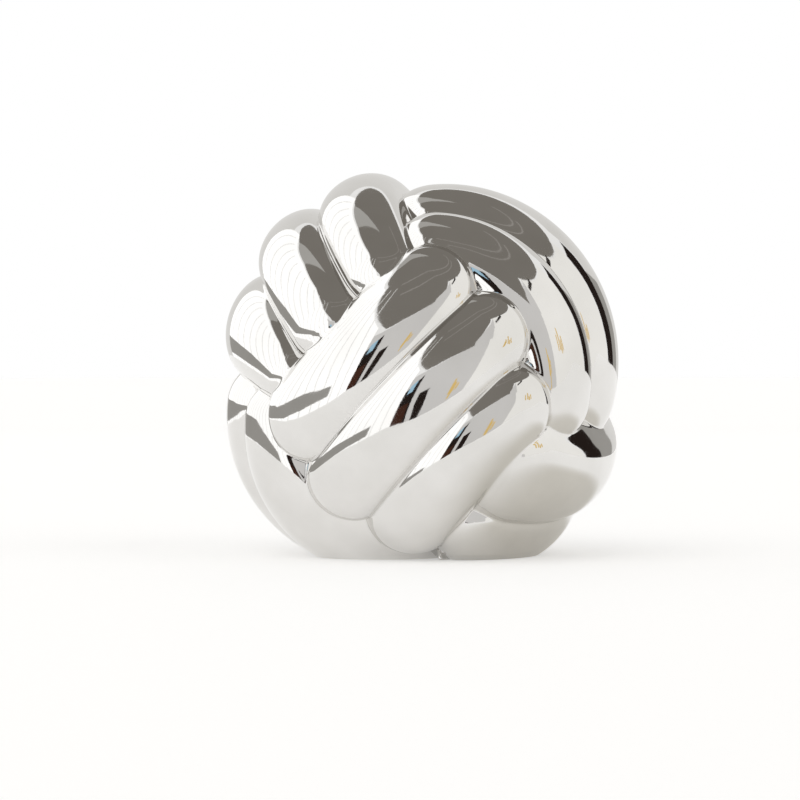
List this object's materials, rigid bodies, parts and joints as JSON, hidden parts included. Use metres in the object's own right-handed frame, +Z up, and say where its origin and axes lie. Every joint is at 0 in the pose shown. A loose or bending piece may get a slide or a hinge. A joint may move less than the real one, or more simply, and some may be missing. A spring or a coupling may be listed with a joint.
{
  "type": "ceramic knot sculpture",
  "caption": "Hollow ceramic ball knot of woven, domed strands in a mirror silver glaze, ground flat to stand on a shelf.",
  "frame": {"origin": "in the plane of the ground flat, under the middle of the outline", "axes": "+Z up from the flat; -Y is the front, where the strands run from lower left to upper right; +X to the right"},
  "size_m": [0.0824, 0.0854, 0.0802],
  "materials": {
    "silver_glaze": "mirror silver plated glaze over white ceramic, unglazed on the ground flat"
  },
  "bodies": {
    "root": {"front_strand_upper": "silver_glaze", "front_strand_middle": "silver_glaze", "front_strand_lower": "silver_glaze", "right_strand_front": "silver_glaze", "right_strand_middle": "silver_glaze", "right_strand_rear": "silver_glaze", "top_strand_left": "silver_glaze", "top_strand_middle": "silver_glaze", "top_strand_right": "silver_glaze", "left_strand_front": "silver_glaze", "left_strand_middle": "silver_glaze", "left_strand_rear": "silver_glaze", "bottom_strand_right": "silver_glaze", "bottom_strand_middle": "silver_glaze", "bottom_strand_left": "silver_glaze", "back_strand_upper": "silver_glaze", "back_strand_middle": "silver_glaze", "back_strand_lower": "silver_glaze"}
  },
  "joints": []
}
